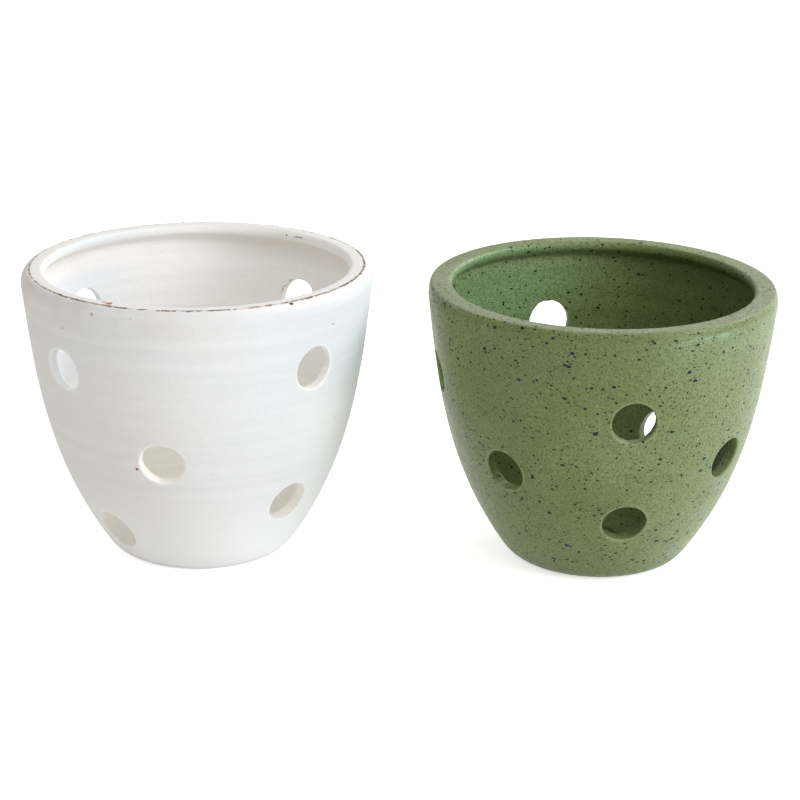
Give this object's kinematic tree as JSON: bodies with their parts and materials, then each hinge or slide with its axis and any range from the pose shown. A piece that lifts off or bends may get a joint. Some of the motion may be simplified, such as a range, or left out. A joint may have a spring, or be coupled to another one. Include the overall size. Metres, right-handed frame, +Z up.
{
  "type": "ceramic orchid pot pair",
  "caption": "Glazed clay orchid pots in white and speckled green, each a belly-curved cup with a rolled rim and round air holes drilled through its wall.",
  "frame": {"origin": "centre of the pair's footprint, on the shelf", "axes": "+Z up, +X from the white pot to the green one, +Y away from the viewer"},
  "size_m": [0.3036, 0.1472, 0.1196],
  "materials": {
    "white_slip": "matt off-white slip over red clay, worn through along the rim",
    "green_glaze": "satin sage green glaze with fine dark speckles"
  },
  "bodies": {
    "root": {"white_pot": "white_slip", "green_pot": "green_glaze"}
  },
  "joints": []
}
